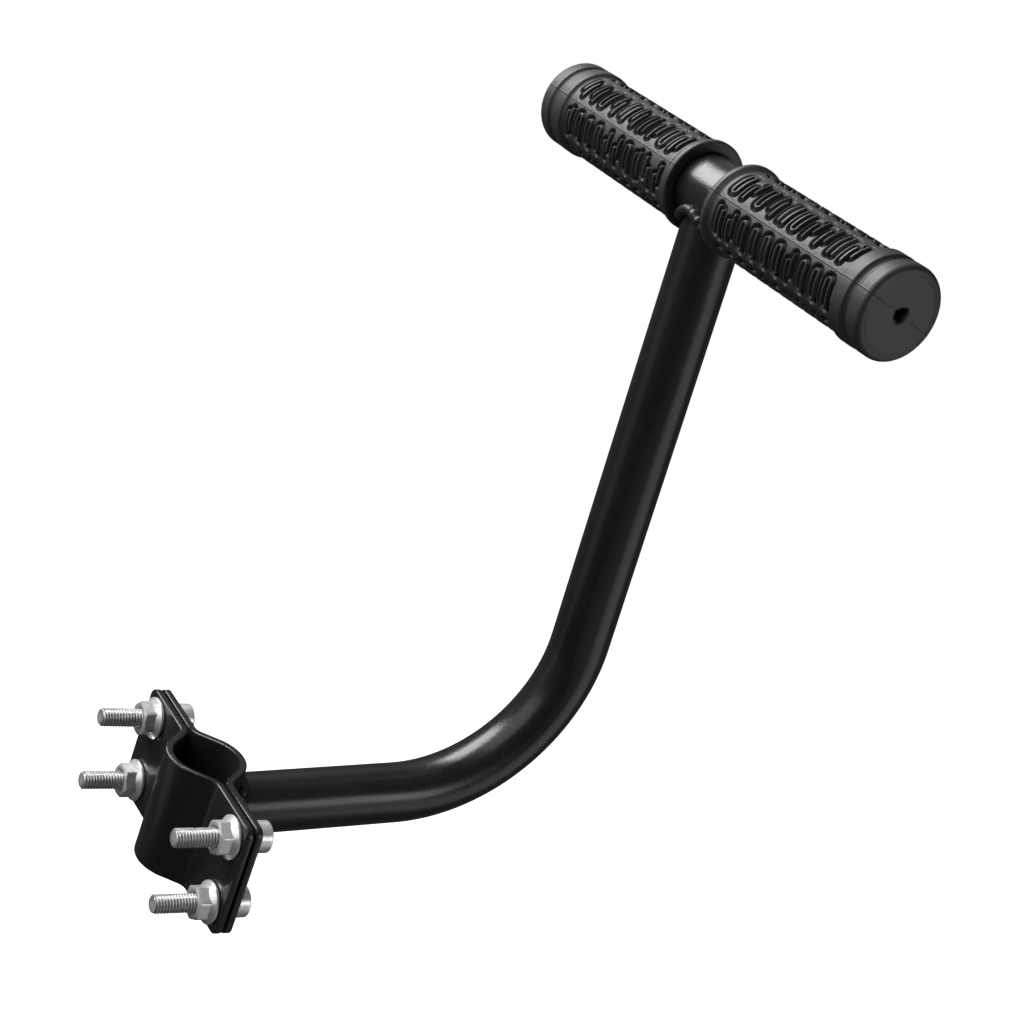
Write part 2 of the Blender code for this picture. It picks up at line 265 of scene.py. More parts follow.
class Net:
    """A node tree under construction, for shaders and for geometry."""

    def __init__(self, tree):
        self.tree = tree

    def add(self, kind, options=None, inputs=None, out=0):
        node = self.tree.nodes.new(kind)
        for key, value in (options or {}).items():
            setattr(node, key, value)
        for key, value in (inputs or {}).items():
            if isinstance(value, Wire):
                self.tree.links.new(value.socket, node.inputs[key])
            else:
                node.inputs[key].default_value = value
        return Wire(self, node.outputs[out]) if node.outputs else node

    def math(self, operation, *values):
        return self.add("ShaderNodeMath", {"operation": operation}, dict(enumerate(values)))

    def noise(self, place, scale, detail):
        return self.add("ShaderNodeTexNoise", {}, {"Vector": place, "Scale": scale,
                                                   "Detail": detail, "Roughness": 0.5})

    def vector(self, x=0.0, y=0.0, z=0.0):
        return self.add("ShaderNodeCombineXYZ", {}, {0: x, 1: y, 2: z})

    def parts(self, vector):
        """The x, y and z of a vector."""
        first = self.add("ShaderNodeSeparateXYZ", {}, {0: vector})
        outputs = first.socket.node.outputs
        return [Wire(self, outputs[i]) for i in range(3)]


class Finish(Net):
    """A Principled material under construction."""

    def __init__(self, name):
        self.material = bpy.data.materials.new(name)
        self.material.use_nodes = True
        super().__init__(self.material.node_tree)
        self.shader = self.tree.nodes["Principled BSDF"]
        object_place = self.add("ShaderNodeTexCoord", out="Object")
        self.place = self.add("ShaderNodeMapping", {}, {"Vector": object_place})

    def set(self, **values):
        for key, value in values.items():
            socket = self.shader.inputs[key.replace("_", " ")]
            if isinstance(value, Wire):
                self.tree.links.new(value.socket, socket)
            else:
                socket.default_value = value

    def mix(self, amount, low, high):
        """A colour between two colours."""
        return self.add("ShaderNodeMix", {"data_type": 'RGBA'}, {0: amount, 6: low, 7: high}, out=2)

    def bump(self, height, distance):
        return self.add("ShaderNodeBump", {}, {"Height": height, "Distance": distance})

    def mark(self, attribute):
        """A value that the mesh carries."""
        return self.add("ShaderNodeAttribute", {"attribute_name": attribute}, out="Fac")


def shade(value, scale):
    """A colour made darker or lighter, with its alpha."""
    return (*(channel * scale for channel in value), 1)


@functools.cache
def paint_finish():
    """Stove paint: satin gloss, a faint orange peel, and dust that has settled in it."""
    finish = settings().finish
    net = Finish("black_stove_paint")
    cloud = net.noise(net.place, 60, 3)
    peel = net.noise(net.place, 900, 2)
    dust = net.noise(net.place, 1700, 1).smooth(0.70, 0.78)
    net.set(Base_Color=net.mix(cloud * 0.4 + dust * 0.6, shade(finish.paint, 0.8),
                               shade(finish.paint, 2.4)),
            Roughness=finish.paint_roughness + (cloud - 0.5) * 0.10 + dust * 0.15,
            Normal=net.bump(peel + dust * 0.4, 0.04 * MM))
    return net.material


@functools.cache
def weld_finish():
    """The same paint pooled over a rough bead."""
    finish = settings().finish
    net = Finish("painted_weld")
    lumps = net.noise(net.place, 420, 3)
    pits = net.noise(net.place, 1500, 2)
    net.set(Base_Color=net.mix(lumps, shade(finish.weld, 0.7), shade(finish.weld, 1.8)),
            Roughness=0.30 + lumps * 0.15,
            Normal=net.bump(lumps + pits * 0.3, 0.25 * MM))
    return net.material


@functools.cache
def rubber_finish():
    """Moulded rubber: matt, with bloom on the raised faces, rougher in the grooves and painted near
    black there as painted shade.
    """
    finish = settings().finish
    net = Finish("moulded_black_rubber")
    # The groove mark carries painted shade: the rubber's colour goes almost black inside the
    # grooves.
    groove = net.mark("groove")
    bloom = net.noise(net.place, 90, 4)
    grain = net.noise(net.place, 1600, 3)
    lit = net.mix(bloom, shade(finish.rubber, 0.8), shade(finish.rubber, 1.5))
    net.set(Base_Color=net.mix(groove, lit, shade(finish.rubber, 0.04)),
            Roughness=finish.rubber_roughness + (bloom - 0.5) * 0.12 + groove * 0.40,
            Normal=net.bump(grain, 0.05 * MM))
    return net.material


@functools.cache
def zinc_finish():
    """Bright zinc: mottled plating, with painted shade darkening the thread's roots."""
    finish = settings().finish
    net = Finish("bright_zinc_plate")
    # Painted shade: the zinc colour is mixed towards dark grey in the thread's roots.
    thread_root_shade = net.mark("thread_root_shade")
    spangle = net.noise(net.place, 380, 3)
    grain = net.noise(net.place, 2600, 2)
    tint = net.mix(spangle, shade(finish.zinc, 0.72), shade(finish.zinc, 1.08))
    net.set(Base_Color=net.mix(thread_root_shade * 0.8, tint, shade(finish.zinc, 0.16)),
            Metallic=0.66,
            Roughness=finish.zinc_roughness + (spangle - 0.5) * 0.22,
            Normal=net.bump(grain + spangle * 0.5, 0.04 * MM))
    return net.material


class NodeShape:
    """A Geometry Nodes tree with named inputs that ends in Realize Instances and Set Material."""

    def __init__(self, name, inputs):
        self.tree = bpy.data.node_groups.new(name, 'GeometryNodeTree')
        self.net = Net(self.tree)
        self.tree.interface.new_socket("Geometry", in_out='OUTPUT',
                                       socket_type='NodeSocketGeometry')
        self.names = {}
        for key in ("Geometry", *inputs, "Material"):
            kind = {"Geometry": 'NodeSocketGeometry', "Material": 'NodeSocketMaterial',
                    "Seed": 'NodeSocketInt'}.get(key, 'NodeSocketFloat')
            item = self.tree.interface.new_socket(key, in_out='INPUT', socket_type=kind)
            self.names[key] = item.identifier
        group = self.tree.nodes.new("NodeGroupInput")
        self.input = {key: Wire(self.net, group.outputs[key]) for key in self.names}

    def close(self, geometry):
        real = self.net.add("GeometryNodeRealizeInstances", {}, {0: geometry})
        done = self.net.add("GeometryNodeSetMaterial", {},
                            {"Geometry": real, "Material": self.input["Material"]})
        self.net.add("NodeGroupOutput", {}, {"Geometry": done})

    def mark(self, geometry, name, value):
        """The geometry with a value stored on its points, for the material."""
        return self.net.add("GeometryNodeStoreNamedAttribute",
                            {"data_type": 'FLOAT', "domain": 'POINT'},
                            {"Geometry": geometry, "Name": name, "Value": value})

    def moved(self, geometry, offset):
        return self.net.add("GeometryNodeSetPosition", {},
                            {"Geometry": geometry, "Offset": offset})

    def bake(self, mesh, values):
        """The mesh that the tree makes of a mesh."""
        item = bpy.data.objects.new(self.tree.name, mesh)
        bpy.context.scene.collection.objects.link(item)
        modifier = item.modifiers.new("Shape", 'NODES')
        modifier.node_group = self.tree
        for key, value in values.items():
            modifier[self.names[key]] = value
        graph = bpy.context.evaluated_depsgraph_get()
        result = bpy.data.meshes.new_from_object(item.evaluated_get(graph))
        bpy.data.objects.remove(item, do_unlink=True)
        if not result.polygons:
            raise RuntimeError(f"{self.tree.name} made no faces")
        return result


def arc(centre, radius, start, end, steps):
    """Points on an arc between two angles in degrees, in a plane of (a, b)."""
    turns = [math.radians(start + (end - start) * i / steps) for i in range(steps + 1)]
    return [(centre[0] + radius * math.cos(turn), centre[1] + radius * math.sin(turn))
            for turn in turns]


def line(start, end, step):
    """Points from start to end, no further apart than step, without the first."""
    count = max(1, math.ceil(math.dist(start, end) / step))
    return [tuple(a + (b - a) * i / count for a, b in zip(start, end)) for i in range(1, count + 1)]


def clean_mesh(name, shape):
    """A mesh from a bmesh, with doubles merged and normals outwards."""
    bmesh.ops.remove_doubles(shape, verts=shape.verts, dist=MERGE)
    bmesh.ops.recalc_face_normals(shape, faces=shape.faces)
    mesh = bpy.data.meshes.new(name)
    shape.to_mesh(mesh)
    shape.free()
    return mesh


def skin(name, rings, wrap=False):
    """A closed mesh over rings of equal count; wrap joins the last ring to the first."""
    shape = bmesh.new()
    rows = [[shape.verts.new(point) for point in ring] for ring in rings]
    count = len(rows[0])
    pairs = list(zip(rows, rows[1:])) + ([(rows[-1], rows[0])] if wrap else [])
    for first, second in pairs:
        for i in range(count):
            j = (i + 1) % count
            shape.faces.new((first[i], first[j], second[j], second[i]))
    if not wrap:
        for row in (rows[0], rows[-1]):
            middle = sum((vert.co for vert in row), Vector()) / count
            hub = shape.verts.new(middle)
            for i in range(count):
                shape.faces.new((row[i], row[(i + 1) % count], hub))
    return clean_mesh(name, shape)


def turned(profile, turns, radius_at=None):
    """Rings about Z from (radius, height) points; radius_at bends a ring's outline."""
    rings = []
    for number, (radius, height) in enumerate(profile):
        ring = []
        for turn in turns:
            r, z = radius_at(number, radius, height, turn) if radius_at else (radius, height)
            ring.append((r * math.cos(turn), r * math.sin(turn), z))
        rings.append(ring)
    return rings


def even_turns(count):
    return [2 * math.pi * i / count for i in range(count)]


def axes(origin, z_axis, x_axis):
    """The matrix that puts a shape made about Z on an axis."""
    z = Vector(z_axis).normalized()
    x = Vector(x_axis)
    x = (x - z * x.dot(z)).normalized()
    y = z.cross(x)
    place = Matrix((x, y, z)).transposed().to_4x4()
    place.translation = origin
    return place


def finish_piece(name, mesh, material, sharp, body, node):
    """Makes the piece's object at the origin, smooth but for its edges, in a CAD node's place."""
    piece = bpy.data.objects.new(name, mesh)
    bpy.context.scene.collection.objects.link(piece)
    mesh.materials.clear()
    mesh.materials.append(material)
    mesh.shade_smooth()
    mesh.set_sharp_from_angle(angle=math.radians(sharp))
    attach(piece, body)
    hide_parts(node)


def arm_direction(turned_by=0.0):
    """The direction of the arm's lower run, or that direction turned in the plane Y = 0."""
    tilt = settings().arm.tilt + turned_by
    return Vector((math.cos(tilt), 0, math.sin(tilt)))


def arm_radius():
    low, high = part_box("arm_tube")
    return (high.y - low.y) / 2


def bar_centre():
    low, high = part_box("cross_tube")
    return (low + high) / 2


def plate_line(offset):
    """Half of the hat section's outer side as (x, y), from its crest to the flange's edge."""
    size = settings().plate
    low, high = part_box("saddle_plate")
    flange = low.x + size.thickness
    crest = high.x
    slope = size.wall_angle
    rise = (size.crest_radius - (crest - flange)) * math.cos(slope)
    wall = size.crest_radius - rise
    fillet_y = (wall + size.fillet * (1 - math.cos(slope))) / math.sin(slope)
    degrees = math.degrees(slope)
    points = arc((crest - size.crest_radius, 0), size.crest_radius + offset, 0, degrees, 24)
    points += arc((flange + size.fillet, fillet_y), size.fillet - offset, 180 + degrees, 180, 12)
    return points + [(flange + offset, high.y)]


def plate_height(y, offset):
    """The x of the hat section's outer side at a given y."""
    points = plate_line(offset)
    return float(np.interp(abs(y), [p[1] for p in points], [p[0] for p in points]))


def tube_ring(centre, along, radius):
    """A ring of points round a centre line in the plane Y = 0."""
    across = Vector((-along.z, 0, along.x))
    return [centre + across * (radius * math.cos(turn)) + Vector((0, radius * math.sin(turn), 0))
            for turn in even_turns(TUBE_SIDES)]


def slid(ring, along, reach):
    """The ring with each point moved along the tube until reach says that it has arrived."""
    return [point + along * reach(point) for point in ring]


def arm_rings(radius):
    """Rings of the arm's wall from the saddle plate to the cross tube."""
    size = settings().arm
    start = arm_direction() * size.lower
    hub = start + arm_direction(math.pi / 2) * size.bend_radius
    low = arm_direction()
    high = arm_direction(size.bend)
    bar = bar_centre()

    def to_plate(point):
        return (plate_height(point.y, 0.0) - point.x) / low.x

    def to_bar(point):
        offset = point - bar
        out = offset - high * offset.dot(high)
        out.y = 0
        return -offset.dot(high) - math.sqrt(max(size.bar_radius ** 2 - out.length_squared, 0))

    rings = [slid(tube_ring(start, low, radius), low, to_plate)]
    foot = low * (plate_height(0, 0) + FITTED_END)
    for i in range(1, RUN_RINGS):
        along = i / RUN_RINGS
        rings.append(tube_ring(foot * (1 - along) + start * along, low, radius))
    for i in range(BEND_RINGS + 1):
        turn = size.bend * i / BEND_RINGS
        middle = hub - arm_direction(turn + math.pi / 2) * size.bend_radius
        rings.append(tube_ring(middle, arm_direction(turn), radius))
    top = hub - arm_direction(size.bend + math.pi / 2) * size.bend_radius
    reach = high * (size.upper - size.bar_radius - FITTED_END)
    for i in range(1, RUN_RINGS):
        rings.append(tube_ring(top + reach * (i / RUN_RINGS), high, radius))
    rings.append(slid(tube_ring(top, high, radius), high, to_bar))
    return rings


class GRAB_OT_arm(bpy.types.Operator):
    """Makes the bent arm tube, fitted to the saddle plate and to the cross tube"""

    bl_idname = "grab.arm"
    bl_label = "Bent arm"

    def execute(self, context):
        outer = arm_rings(arm_radius())
        inner = arm_rings(arm_radius() - settings().arm.wall)
        mesh = skin("bent_arm", outer + inner[::-1], wrap=True)
        finish_piece("bent_arm", mesh, paint_finish(), PAINT_EDGE,
                     "handle", "arm_tube")
        return {'FINISHED'}


class GRAB_OT_cross_bar(bpy.types.Operator):
    """Makes the cross tube that the grips sit on"""

    bl_idname = "grab.cross_bar"
    bl_label = "Cross bar"

    def execute(self, context):
        size = settings().arm
        low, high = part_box("cross_tube")
        half = (high.y - low.y) / 2
        edge = 0.3 * MM
        outer = size.bar_radius
        inner = outer - size.wall
        profile = [(inner, -half + edge), (inner + edge, -half),
                   (outer - edge, -half), (outer, -half + edge)]
        profile += line((outer, -half + edge), (outer, half - edge), 4 * MM)
        profile += [(outer - edge, half), (inner + edge, half), (inner, half - edge)]
        mesh = skin("cross_bar", turned(profile, even_turns(TUBE_SIDES)), wrap=True)
        mesh.transform(axes(bar_centre(), (0, 1, 0), (1, 0, 0)))
        finish_piece("cross_bar", mesh, paint_finish(), PAINT_EDGE,
                     "handle", "cross_tube")
        return {'FINISHED'}


def filled_plate(name, outline, depth):
    """A closed slab from a flat outline, from -depth to +depth along Z."""
    shape = bmesh.new()
    verts = [shape.verts.new((a, b, -depth)) for a, b in outline]
    face = shape.faces.new(verts)
    lifted = bmesh.ops.extrude_face_region(shape, geom=[face])["geom"]
    moved = [item for item in lifted if isinstance(item, bmesh.types.BMVert)]
    bmesh.ops.translate(shape, verts=moved, vec=(0, 0, 2 * depth))
    return clean_mesh(name, shape)


def cutter(name, mesh):
    """An object that modifiers work on, removed afterwards."""
    item = bpy.data.objects.new(name, mesh)
    bpy.context.scene.collection.objects.link(item)
    return item


def formed_plate(name, facing):
    """A hat-section plate with rounded corners, four holes and softened edges."""
    size = settings().plate
    low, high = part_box("saddle_plate")
    outer = plate_line(0.0)
    inner = plate_line(-size.thickness)
    over = 1 * MM
    outer = outer[:-1] + [(outer[-1][0], high.y + over)]
    inner = inner[:-1] + [(inner[-1][0], high.y + over)]
    outer = [(x, -y) for x, y in reversed(outer[1:])] + outer
    inner = [(x, -y) for x, y in reversed(inner[1:])] + inner
    outline = [(facing * x, y) for x, y in outer + inner[::-1]]
    plate = cutter(name, filled_plate(name, outline, high.z + over))
    inset_z, inset_y = high.z - size.corner, high.y - size.corner
    trim = []
    for i, (side_z, side_y) in enumerate(((1, 1), (-1, 1), (-1, -1), (1, -1))):
        trim += arc((side_z * inset_z, side_y * inset_y), size.corner, 90 * i, 90 * i + 90, 10)
    trim_mesh = filled_plate("plate_trim", trim, 2 * high.x)
    trim_mesh.transform(Matrix.Rotation(-math.pi / 2, 4, 'Y'))
    tools = [(cutter("plate_trim", trim_mesh), 'INTERSECT')]
    drill = [(size.hole, -2 * high.x), (size.hole, 2 * high.x)]
    for y, z in screw_places():
        hole = skin("plate_hole", turned(drill, even_turns(40)))
        hole.transform(axes((0, y, z), (1, 0, 0), (0, 0, 1)))
        tools.append((cutter("plate_hole", hole), 'DIFFERENCE'))
    for tool, operation in tools:
        boolean = plate.modifiers.new(tool.name, 'BOOLEAN')
        boolean.operation = operation
        boolean.solver = 'EXACT'
        boolean.object = tool
    bevel = plate.modifiers.new("Edges", 'BEVEL')
    bevel.width = size.edge
    bevel.segments = 4
    bevel.limit_method = 'ANGLE'
    bevel.angle_limit = math.radians(50)
    bevel.harden_normals = True
    graph = bpy.context.evaluated_depsgraph_get()
    mesh = bpy.data.meshes.new_from_object(plate.evaluated_get(graph))
    for item in [plate] + [tool for tool, _ in tools]:
        bpy.data.objects.remove(item, do_unlink=True)
    mesh.name = name
    return mesh


class GRAB_OT_plates(bpy.types.Operator):
    """Makes the saddle plate that is welded to the arm, and the loose clamp cap"""

    bl_idname = "grab.plates"
    bl_label = "Clamp plates"

    def execute(self, context):
        for name, facing, body, node in (
                ("saddle_plate_pressed", 1, "handle", "saddle_plate"),
                ("clamp_cap_pressed", -1, "clamp_cap", "clamp_cap")):
            finish_piece(name, formed_plate(name, facing), paint_finish(), PAINT_EDGE,
                         body, node)
        return {'FINISHED'}


def weld_shape():
    """Geometry Nodes: an uneven, rippled bead along a path."""
    shape = NodeShape("Weld bead", ("Bead", "Ripple", "Pitch", "Seed"))
    net = shape.net
    get = shape.input
    wander_scale, lump_scale, rings_per_ripple = 260, 900, 7
    path = net.add("GeometryNodeMeshToCurve", {}, {"Mesh": get["Geometry"]})
    even = net.add("GeometryNodeResampleCurve", {"mode": 'LENGTH'},
                   {"Curve": path, "Length": get["Pitch"] / rings_per_ripple})
    along = net.add("GeometryNodeSplineParameter", out="Length")
    place = net.add("GeometryNodeInputPosition")
    seed_place = net.add("ShaderNodeVectorMath", {"operation": 'ADD'},
                         {0: place, 1: net.vector(get["Seed"], 0.0, 0.0)})
    wander = net.noise(seed_place, wander_scale, 2)
    beat = (along / get["Pitch"] + wander * 1.6).fract()
    ripple = (beat * beat - 0.5) * get["Ripple"]
    radius = get["Bead"] * (0.72 + wander * 0.56) + ripple
    sized = net.add("GeometryNodeSetCurveRadius", {}, {"Curve": even, "Radius": radius})
    section = net.add("GeometryNodeCurvePrimitiveCircle", {"mode": 'RADIUS'},
                      {"Resolution": 18, "Radius": 1.0})
    bead = net.add("GeometryNodeCurveToMesh", {}, {"Curve": sized, "Profile Curve": section,
                                                   "Scale": radius, "Fill Caps": True})
    swell = (net.noise(seed_place, lump_scale, 2) - 0.5) * get["Ripple"] * 1.2
    lump = net.add("ShaderNodeVectorMath", {"operation": 'SCALE'},
                   {0: net.add("GeometryNodeInputNormal"), "Scale": swell})
    shape.close(shape.moved(bead, lump))
    return shape


def path_mesh(name, points, cyclic):
    """A mesh of edges only, along a path."""
    mesh = bpy.data.meshes.new(name)
    count = len(points)
    edges = [(i, (i + 1) % count) for i in range(count if cyclic else count - 1)]
    mesh.from_pydata(points, edges, [])
    return mesh


def saddle_seam():
    """The line where the arm meets the saddle plate, stood off by the bead's seat."""
    size = settings()
    reach = arm_radius() + size.weld.sunk
    low = arm_direction()
    across = arm_direction(math.pi / 2)
    points = []
    for turn in even_turns(TUBE_SIDES):
        side = across * (reach * math.cos(turn)) + Vector((0, reach * math.sin(turn), 0))
        points.append(low * ((plate_height(side.y, size.weld.sunk) - side.x) / low.x) + side)
    return points


def bar_seam(facing):
    """The line where one face of the arm meets the cross tube, stood off by the bead's seat."""
    size = settings()
    half_run, half_steps = math.radians(42), 20
    reach = arm_radius() + size.weld.sunk
    bar_reach = size.arm.bar_radius + size.weld.sunk
    high = arm_direction(size.arm.bend)
    across = arm_direction(size.arm.bend - math.pi / 2)
    points = []
    for i in range(2 * half_steps + 1):
        turn = half_run * (i / half_steps - 1)
        depth = reach * math.cos(turn)
        side = Vector((0, reach * math.sin(turn), 0))
        drop = high * math.sqrt(bar_reach ** 2 - depth ** 2)
        points.append(bar_centre() + across * (facing * depth) + side - drop)
    return points


class GRAB_OT_welds(bpy.types.Operator):
    """Makes the painted weld beads at the saddle plate and at the cross tube"""

    bl_idname = "grab.welds"
    bl_label = "Weld beads"

    def execute(self, context):
        size = settings().weld
        shape = weld_shape()
        seams = (("saddle_weld", saddle_seam(), True, "weld_bead_saddle"),
                 ("bar_weld_outer", bar_seam(1), False, "weld_bead_bar_outer"),
                 ("bar_weld_inner", bar_seam(-1), False, "weld_bead_bar_inner"))
        for number, (name, points, cyclic, node) in enumerate(seams):
            mesh = shape.bake(path_mesh(name, points, cyclic), {
                "Bead": size.bead, "Ripple": size.ripple, "Pitch": size.pitch,
                "Seed": size.seed + number, "Material": weld_finish()})
            whole = bmesh.new()
            whole.from_mesh(mesh)
            finish_piece(name, clean_mesh(name, whole), weld_finish(), SOFT_EDGE,
                         "handle", node)
        return {'FINISHED'}


def grip_shape():
    """Geometry Nodes: rows of raised, rounded figures with a groove beside each stroke."""
    shape = NodeShape("Grip figures", ("Radius", "Zone Start", "Zone End", "Columns", "Rows",
                                       "Stroke", "Groove", "Groove Depth", "Rise", "Seed"))
    net = shape.net
    get = shape.input
    x, y, z = net.parts(net.add("GeometryNodeInputPosition"))
    width = (get["Zone End"] - get["Zone Start"]) / get["Columns"]
    height = get["Radius"] * (2 * math.pi) / get["Rows"]
    column = (z - get["Zone Start"]) / width
    row = (y.turns_from(x) + 1) * get["Rows"]
    across = (column.fract() - 0.5) * width
    up = (row.fract() - 0.5) * height
    cell = column.floor() + row.floor() % get["Rows"] * 32

    def draw(number):
        return net.add("FunctionNodeRandomValue", {"data_type": 'FLOAT'},
                       {2: 0.0, 3: 1.0, 7: cell, 8: get["Seed"] + number}, out=1)

    kind, shift = draw(0), draw(1)
    bow = width * 0.175
    tall = height * 0.315

    def bar(side, middle, half):
        """Distance from an upright line."""
        return (across - side).hypot((abs(up - middle) - half).most(0.0))

    slip = (shift - 0.5) * height * 0.26
    oval = abs(bar(0.0, 0.0, tall - bow) - bow)
    left, right = bar(-bow, slip, tall - abs(slip)), bar(bow, -slip, tall - abs(slip))
    reach = kind.below(0.50).pick(left.least(right), oval)
    inside = column.below(0.0).most(get["Columns"].below(column))
    reach = reach + inside
    half = get["Stroke"] / 2
    soft = get["Stroke"] * 0.35
    top = 1 - reach.smooth(half - soft / 2, half + soft / 2)
    edge = half + get["Groove"]
    dip = reach.smooth(half - soft / 2, half + soft) * (1 - reach.smooth(edge - soft, edge + soft))
    depth = top * get["Rise"] - dip * get["Groove Depth"]
    radius = x.hypot(y)
    scale = depth / radius * (get["Radius"] * 0.97).below(radius)
    pressed = shape.moved(get["Geometry"], net.vector(x * scale, y * scale, 0.0))
    # Mask of painted shade for the material: 1 in the grooves, where the rubber is painted almost
    # black.
    groove_shade_mark = dip.smooth(0.25, 0.9) * (get["Radius"] * 0.9).below(radius)
    shape.close(shape.mark(pressed, "groove", groove_shade_mark))
    return shape


def grip_profile():
    """Section of a grip as (radius, distance from the arm's middle plane), once round."""
    size = settings().grip
    bore = settings().arm.bar_radius + 0.06 * MM
    low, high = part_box("cross_tube")
    cavity = (high.y - low.y) / 2 + 0.3 * MM
    body, start, end = size.body, size.start, size.end
    soft, margin, fine = 0.8 * MM, 0.4 * MM, 0.3 * MM
    collar, collar_end = 15.0 * MM, 11.6 * MM
    ring, ring_start, ring_end = 14.8 * MM, 77.0 * MM, 80.9 * MM
    points = [(bore, start + soft)]
    points += arc((bore + soft, start + soft), soft, 180, 270, 4)[1:]
    points += arc((collar - soft, start + soft), soft, -90, 0, 6)
    points += line(points[-1], (collar, collar_end), 0.5 * MM)
    points += arc((collar - 0.6 * MM, collar_end + 0.2 * MM), 0.6 * MM, 0, 50, 4)
    points += line(points[-1], (body + 0.15 * MM, 13.5 * MM), 0.4 * MM)
    points += line(points[-1], (body, 14.0 * MM), fine)
    points += line(points[-1], (body, size.zone_start - margin), fine)
    points += line(points[-1], (body, size.zone_end + margin), fine)
    points += arc((ring - soft, ring_start), soft, -60, 0, 5)
    points += line(points[-1], (ring, ring_end - 0.3 * MM), 1 * MM)
    points += arc((ring - soft, ring_end), soft, 0, 70, 5)
    points += arc((14.5 * MM, 82.9 * MM), soft, 215, 145, 5)
    points += arc((13.9 * MM, 84.7 * MM), soft, -70, 0, 4)
    points += line(points[-1], (14.7 * MM, 87.4 * MM), 1 * MM)
    points += arc((12.9 * MM, 87.9 * MM), 1.8 * MM, 0, 82, 8)
    points += [(12.3 * MM, end - 0.12 * MM), (12.0 * MM, end)]
    points += line(points[-1], (2.6 * MM, end), 0.8 * MM)
    points += [(2.35 * MM, end - 0.25 * MM), (2.2 * MM, end - 1.2 * MM), (2.2 * MM, cavity)]
    points += line(points[-1], (bore, cavity), 3 * MM)
    points += line(points[-1], (bore, start + 3 * MM), 8 * MM)
    return points


def off_parting(turn):
    """The angle from the nearer parting line, at 0 or at half a turn."""
    return min(turn, abs(turn - math.pi), 2 * math.pi - turn)


def grip_turns():
    """Angles round a grip: even, with fine steps at the two parting lines."""
    steps, cleared = 286, math.radians(1.7)
    fine = [math.radians(a) for a in (-1.3, -0.55, 0, 0.55, 1.3)]
    turns = [turn for turn in even_turns(steps) if off_parting(turn) > cleared]
    turns += [t % (2 * math.pi) for t in fine] + [math.pi + t for t in fine]
    return sorted(turns)


def grip_mesh(number):
    """A grip about Z, with its parting ridge and a ragged vent."""
    size = settings().grip
    ridge, ridge_height = math.radians(0.3), 0.16 * MM
    vent, vent_depth = 2.7 * MM, 1.4 * MM

    def at(index, radius, height, turn):
        lift = ridge_height if off_parting(turn) < ridge else 0.0
        if height > size.end - vent_depth and radius < vent:
            ragged = math.sin(3 * turn + number) + 0.6 * math.sin(7 * turn + 2 * number)
            return radius * (1 + 0.09 * ragged), height
        if height > size.end - 0.2 * MM:
            return radius, height + lift * 0.6
        if radius > size.body * 0.97:
            return radius + lift, height
        return radius, height

    return skin("grip", turned(grip_profile(), grip_turns(), at), wrap=True)


class GRAB_OT_grips(bpy.types.Operator):
    """Makes the two rubber grips with their raised figures"""

    bl_idname = "grab.grips"
    bl_label = "Rubber grips"

    def execute(self, context):
        size = settings().grip
        shape = grip_shape()
        material = rubber_finish()
        parting = (-math.cos(size.parting), 0, math.sin(size.parting))
        centre = bar_centre()
        centre.y = 0
        sides = (("left_grip", 1, "grip_left"), ("right_grip", -1, "grip_right"))
        for number, (name, side, node) in enumerate(sides):
            mesh = shape.bake(grip_mesh(number), {
                "Radius": size.body, "Zone Start": size.zone_start, "Zone End": size.zone_end,
                "Columns": float(size.columns), "Rows": float(size.rows), "Stroke": size.stroke,
                "Groove": size.groove, "Groove Depth": size.groove_depth, "Rise": size.rise,
                "Seed": size.seed + 10 * number, "Material": material})
            mesh.transform(axes(centre, (0, side, 0), parting))
            finish_piece(name, mesh, material, SOFT_EDGE, "handle", node)
        return {'FINISHED'}


def screw_places():
    """Hole centres (y, z), from upper +Y round to lower -Y."""
    size = settings().fastener
    return [(side * size.spacing_y, level * size.spacing_z)
            for side in (1, -1) for level in (1, -1)]


def thread_shape():
    """Geometry Nodes: a right-handed screw thread cut into a turned shank."""
    shape = NodeShape("Screw thread", ("Radius", "Pitch", "Depth", "Run Out"))
    net = shape.net
    get = shape.input
    x, y, z = net.parts(net.add("GeometryNodeInputPosition"))
    beat = (z / get["Pitch"] - y.turns_from(x)).fract()
    flank = (abs(beat - 0.5) * 2.0 * 1.35 - 0.12).most(0.0).least(1.0)
    fade = (-z).smooth(get["Run Out"] * 0.4, get["Run Out"])
    limit = get["Radius"] - get["Depth"] * flank * fade
    radius = x.hypot(y)
    shank = z.below(-0.2 * MM) * (get["Radius"] * 0.5).below(radius)
    scale = (limit.least(radius) / radius - 1.0) * shank
    cut = shape.moved(get["Geometry"], net.vector(x * scale, y * scale, 0.0))
    # The mark stored on the points is painted shade for the material, strongest in the thread's
    # roots.
    shape.close(shape.mark(cut, "thread_root_shade", flank * fade * shank))
    return shape


def hexagon_reach(flat, turn):
    """Distance from a hexagon's middle to its outline."""
    return flat / math.cos(turn % (math.pi / 3) - math.pi / 6)


